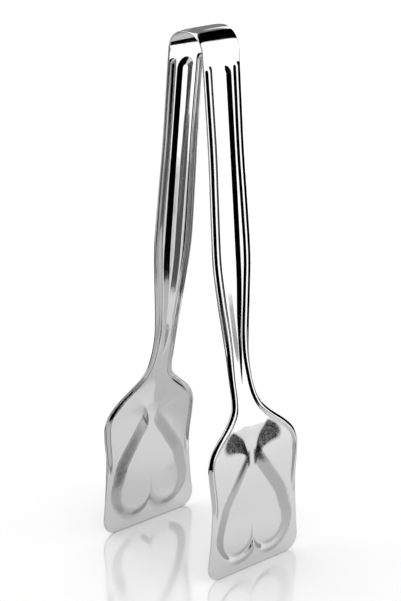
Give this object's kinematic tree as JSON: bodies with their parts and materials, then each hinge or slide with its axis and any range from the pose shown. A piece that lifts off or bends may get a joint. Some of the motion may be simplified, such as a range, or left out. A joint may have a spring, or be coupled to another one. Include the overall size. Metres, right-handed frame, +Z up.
{
  "type": "spring tongs",
  "caption": "Spring tongs pressed from one strip of stainless sheet, with a bow at the top, ribbed handles and wide flat blades that lift and serve food.",
  "frame": {"origin": "on the floor, midway between the tips of the two blades", "axes": "+Z up towards the bow, the arms spread along X, the width of the strip along Y"},
  "size_m": [0.0692, 0.0546, 0.2321],
  "materials": {
    "bow_steel": "brushed across the strip, then polished",
    "handle_steel": "bright polished stainless sheet",
    "blade_steel": "bright polished stainless sheet, slightly soft"
  },
  "bodies": {
    "bow": {"spring_bow": "bow_steel"},
    "right_arm": {"right_handle": "handle_steel", "right_blade": "blade_steel"},
    "left_arm": {"left_handle": "handle_steel", "left_blade": "blade_steel"}
  },
  "joints": [
    {"name": "right_squeeze", "type": "hinge", "parent": "bow", "child": "right_arm", "pos_m": [0.0063, 0, 0.22805], "axis": [0, 1, 0], "range_deg": [-2, 8], "stiffness_Nm_per_rad": 8},
    {"name": "left_squeeze", "type": "hinge", "parent": "bow", "child": "left_arm", "pos_m": [-0.0063, 0, 0.22805], "axis": [0, -1, 0], "range_deg": [-2, 8], "stiffness_Nm_per_rad": 8}
  ],
  "couplings": [
    {"joint": "left_squeeze", "follows": "right_squeeze", "ratio": 1}
  ]
}
